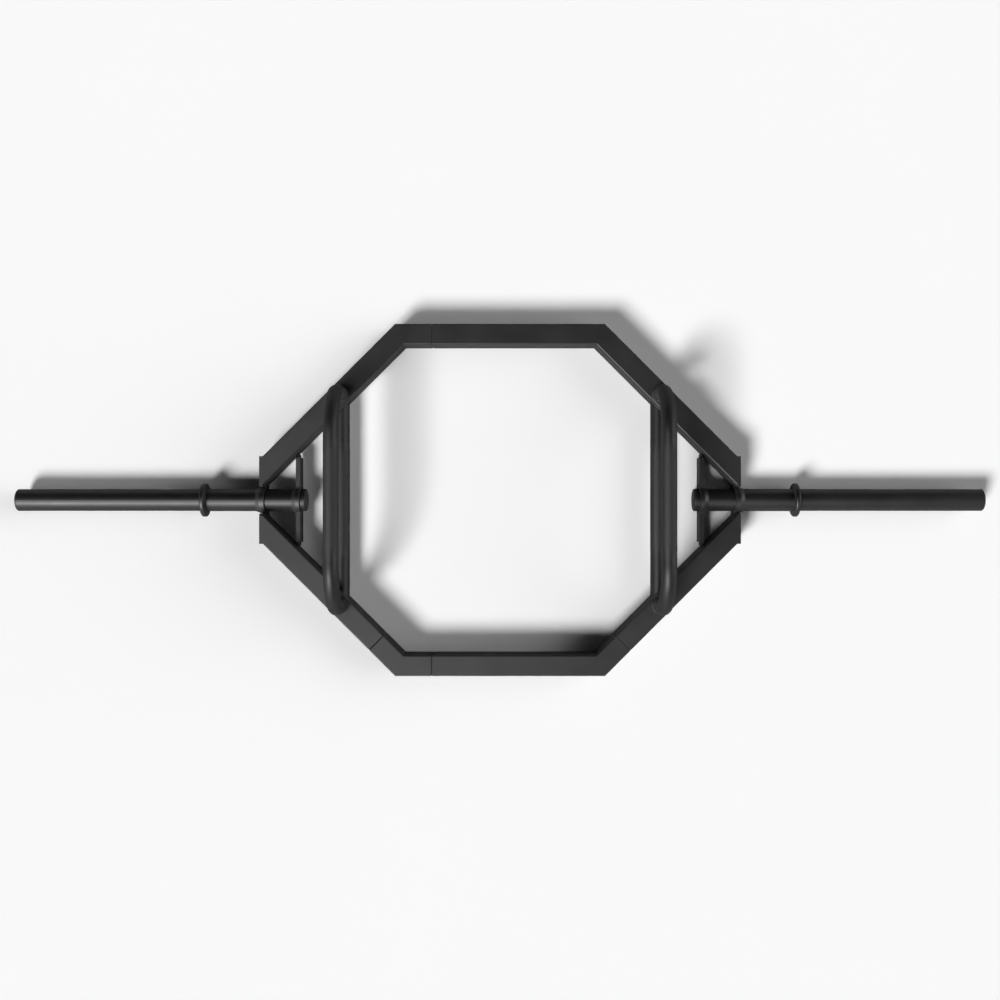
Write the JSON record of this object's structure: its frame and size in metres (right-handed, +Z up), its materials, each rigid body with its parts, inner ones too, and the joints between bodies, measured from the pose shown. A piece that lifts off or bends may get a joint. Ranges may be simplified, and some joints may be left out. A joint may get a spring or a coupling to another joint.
{
  "type": "hex trap bar",
  "caption": "Black six-sided trap bar of welded rectangular tube with loading sleeves, stop collars, low handles and raised handles.",
  "frame": {"origin": "on the floor under the middle of the frame", "axes": "+X along the sleeves to the right end in the picture, +Y to the picture's top (rear rail), +Z up"},
  "size_m": [2.2, 0.7938, 0.2338],
  "materials": {
    "frame_coat": "satin black powder coat on welded steel tube and plate",
    "sleeve_coat": "smooth semi-gloss black coat on turned steel",
    "handle_coat": "semi-gloss black coat on steel tube, knurled at the grips",
    "cap_plastic": "matte black moulded plastic"
  },
  "bodies": {
    "root": {"front_rail": "frame_coat", "corner_front_left": "frame_coat", "diagonal_front_left": "frame_coat", "corner_front_right": "frame_coat", "diagonal_front_right": "frame_coat", "rear_rail": "frame_coat", "corner_rear_left": "frame_coat", "diagonal_rear_left": "frame_coat", "corner_rear_right": "frame_coat", "diagonal_rear_right": "frame_coat", "outer_plate_left": "frame_coat", "inner_bar_front_left": "frame_coat", "inner_bar_rear_left": "frame_coat", "outer_hub_left": "frame_coat", "inner_hub_left": "frame_coat", "sleeve_left": "sleeve_coat", "stop_collar_left": "sleeve_coat", "sleeve_end_cap_left": "cap_plastic", "sleeve_inner_cap_left": "cap_plastic", "low_handle_left": "handle_coat", "raised_handle_left": "handle_coat", "outer_plate_right": "frame_coat", "inner_bar_front_right": "frame_coat", "inner_bar_rear_right": "frame_coat", "outer_hub_right": "frame_coat", "inner_hub_right": "frame_coat", "sleeve_right": "sleeve_coat", "stop_collar_right": "sleeve_coat", "sleeve_end_cap_right": "cap_plastic", "sleeve_inner_cap_right": "cap_plastic", "low_handle_right": "handle_coat", "raised_handle_right": "handle_coat"}
  },
  "joints": []
}
